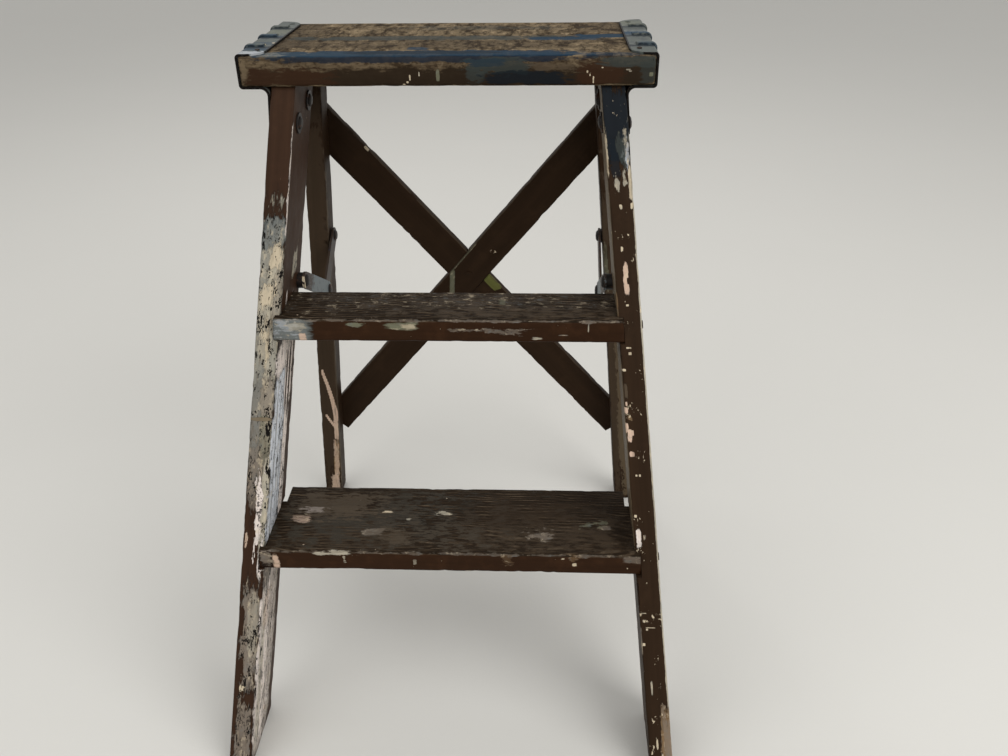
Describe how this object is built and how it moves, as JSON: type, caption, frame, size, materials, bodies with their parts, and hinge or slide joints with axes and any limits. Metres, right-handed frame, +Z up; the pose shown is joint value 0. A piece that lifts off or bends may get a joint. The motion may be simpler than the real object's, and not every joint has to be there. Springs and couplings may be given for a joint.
{
  "type": "folding step stool",
  "caption": "Folding wooden step stool with splayed front rails, housed treads, board top in ribbed sheet brackets, hinged rear leg frame with crossed slats and folding spreaders",
  "frame": {"origin": "midway between the front and rear feet on the floor, in the stool's middle plane", "axes": "+X to the user's right facing the treads, +Y to the back, +Z up"},
  "size_m": [0.3708, 0.3946, 0.5317],
  "materials": {
    "top_wood": "worn bare wood with remnants of paint",
    "rail_paint": "chipped semi-gloss brown paint",
    "tread_paint": "worn brown paint",
    "leg_paint": "semi-gloss dark brown paint",
    "slat_paint": "semi-gloss dark brown paint",
    "bracket_metal": "worn grey-green paint on pressed sheet",
    "strap_metal": "dull aged steel with paint remnants",
    "fastener_metal": "dark aged steel"
  },
  "bodies": {
    "front_frame": {"top_board": "top_wood", "left_bracket": "bracket_metal", "right_bracket": "bracket_metal", "left_front_rail": "rail_paint", "right_front_rail": "rail_paint", "upper_tread": "tread_paint", "lower_tread": "tread_paint", "bracket_nails": "fastener_metal", "tread_nails": "fastener_metal", "bracket_rivets": "fastener_metal", "bracket_washers": "fastener_metal", "left_hinge_pin": "fastener_metal", "right_hinge_pin": "fastener_metal", "spreader_rail_rivets": "fastener_metal", "spreader_rail_spacers": "fastener_metal"},
    "rear_frame": {"left_rear_leg": "leg_paint", "right_rear_leg": "leg_paint", "rising_slat": "slat_paint", "falling_slat": "slat_paint", "slat_nails": "fastener_metal", "crossing_nail": "fastener_metal", "hinge_washers": "fastener_metal", "spreader_leg_rivets": "fastener_metal", "spreader_leg_spacers": "fastener_metal"},
    "left_front_link": {"left_front_link": "strap_metal", "left_knuckle_front": "fastener_metal"},
    "left_rear_link": {"left_rear_link": "strap_metal", "left_knuckle_rear": "fastener_metal"},
    "right_front_link": {"right_front_link": "strap_metal", "right_knuckle_front": "fastener_metal"},
    "right_rear_link": {"right_rear_link": "strap_metal", "right_knuckle_rear": "fastener_metal"}
  },
  "joints": [
    {"name": "rear_frame_hinge", "type": "hinge", "parent": "front_frame", "child": "rear_frame", "pos_m": [0, 0.12283, 0.493], "axis": [-1, 0, 0], "range_deg": [0, 31]},
    {"name": "left_front_link_pivot", "type": "hinge", "parent": "front_frame", "child": "left_front_link", "pos_m": [-0.1248, 0.01756, 0.35], "axis": [-1, 0, 0], "range_deg": [0, 27.2]},
    {"name": "left_rear_link_pivot", "type": "hinge", "parent": "rear_frame", "child": "left_rear_link", "pos_m": [-0.1271, 0.14203, 0.34], "axis": [1, 0, 0], "range_deg": [0, 91.6]},
    {"name": "right_front_link_pivot", "type": "hinge", "parent": "front_frame", "child": "right_front_link", "pos_m": [0.1248, 0.01756, 0.35], "axis": [-1, 0, 0], "range_deg": [0, 27.2]},
    {"name": "right_rear_link_pivot", "type": "hinge", "parent": "rear_frame", "child": "right_rear_link", "pos_m": [0.1271, 0.14203, 0.34], "axis": [1, 0, 0], "range_deg": [0, 91.6]}
  ],
  "couplings": [
    {"joint": "left_front_link_pivot", "follows": "rear_frame_hinge", "ratio": 0.875},
    {"joint": "left_rear_link_pivot", "follows": "rear_frame_hinge", "ratio": 2.953},
    {"joint": "right_front_link_pivot", "follows": "rear_frame_hinge", "ratio": 0.875},
    {"joint": "right_rear_link_pivot", "follows": "rear_frame_hinge", "ratio": 2.953}
  ]
}
